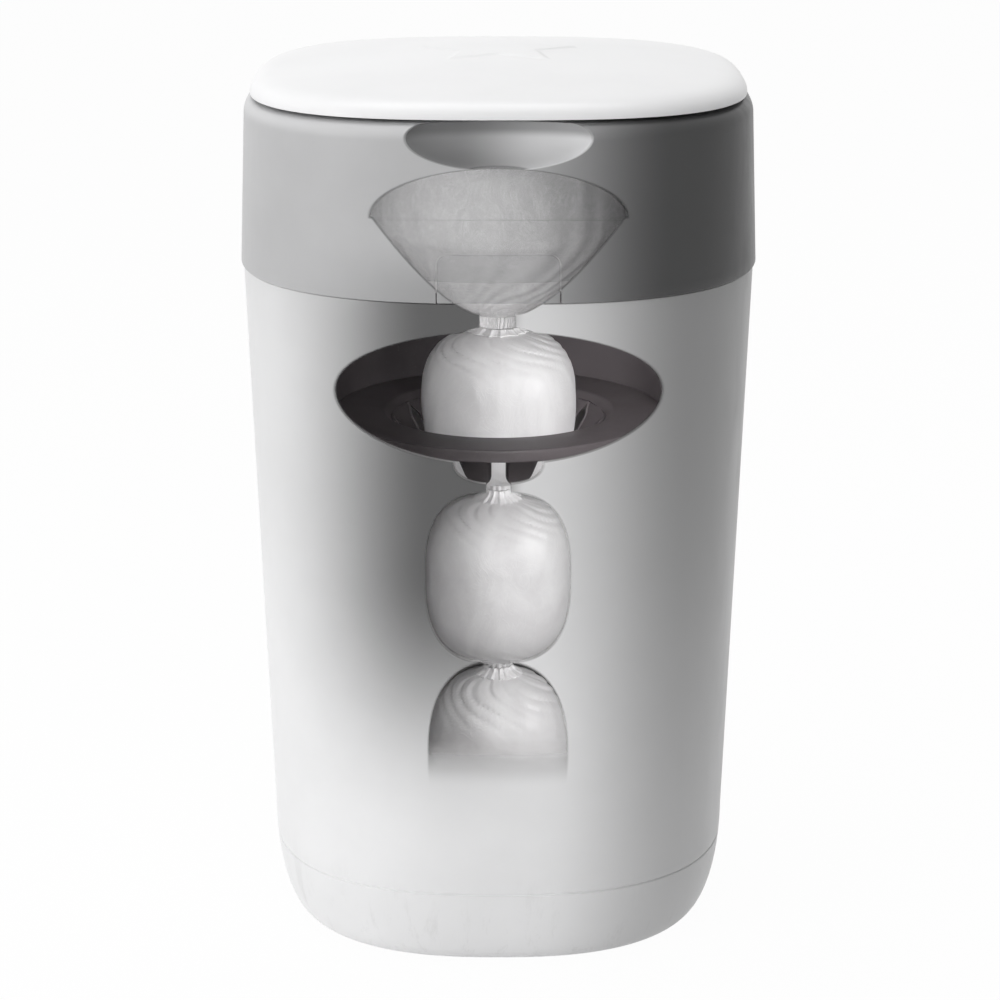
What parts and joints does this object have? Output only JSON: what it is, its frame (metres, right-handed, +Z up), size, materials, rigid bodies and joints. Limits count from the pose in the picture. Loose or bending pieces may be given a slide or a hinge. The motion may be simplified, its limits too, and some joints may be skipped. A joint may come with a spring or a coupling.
{
  "type": "nappy bin",
  "caption": "Tall tapering nappy bin with a hinged domed lid, tilting collar, twist ring over a film cassette and a petal gripper holding wrapped nappies.",
  "frame": {"origin": "on the floor at the middle of the tub's flat underside", "axes": "+Z up, -Y towards the front with the finger scoop and release tab, +X to the right seen from the front"},
  "size_m": [0.245, 0.2527, 0.4226],
  "materials": {
    "tub_plastic": "satin moulded, translucent off-white",
    "lid_plastic": "satin moulded white",
    "collar_plastic": "satin moulded mid grey",
    "inner_plastic": "fine moulded light grey",
    "gripper_rubber": "smooth charcoal elastomer",
    "seal_rubber": "matt black",
    "film": "thin glossy white film, creased",
    "steel": "bright wire and pins"
  },
  "bodies": {
    "tub": {"tub": "tub_plastic", "latch_striker": "inner_plastic", "head_hinge_pin": "steel", "wrapped_nappy_2": "film", "wrapped_nappy_3": "film"},
    "head": {"collar": "collar_plastic", "deck": "inner_plastic", "deck_screw_1": "steel", "deck_screw_2": "steel", "deck_screw_3": "steel", "deck_screw_4": "steel", "gripper_basket": "inner_plastic", "gripper_disc": "gripper_rubber", "wrapped_nappy_1": "film", "lid_hinge_pin": "steel", "tab_spring": "steel"},
    "tab": {"release_tab": "collar_plastic"},
    "lid": {"lid_shell": "lid_plastic", "lid_liner": "inner_plastic", "lid_seal": "seal_rubber"},
    "ring": {"twist_ring": "inner_plastic", "cassette_tray": "lid_plastic", "cassette_cap": "lid_plastic", "film_pack": "film", "film_funnel": "film"},
    "cutter": {"cutter_slider": "inner_plastic", "cutter_blade": "steel"}
  },
  "joints": [
    {"name": "head_tilt", "type": "hinge", "parent": "tub", "child": "head", "pos_m": [0, 0.1262, 0.3255], "axis": [-1, 0, 0], "range_deg": [0, 75]},
    {"name": "lid_swing", "type": "hinge", "parent": "head", "child": "lid", "pos_m": [0, 0.1153, 0.3995], "axis": [-1, 0, 0], "range_deg": [0, 95]},
    {"name": "ring_twist", "type": "hinge", "parent": "head", "child": "ring", "pos_m": [0, 0, 0.3303], "axis": [0, 0, 1], "continuous": true},
    {"name": "tab_press", "type": "slide", "parent": "head", "child": "tab", "axis": [0, 1, 0], "range_m": [0, 0.003], "stiffness_N_per_m": 600, "springref_m": -0.002, "deforming": ["tab_spring"]},
    {"name": "cutter_slide", "type": "slide", "parent": "ring", "child": "cutter", "axis": [0, -1, 0], "range_m": [0, 0.008]}
  ]
}
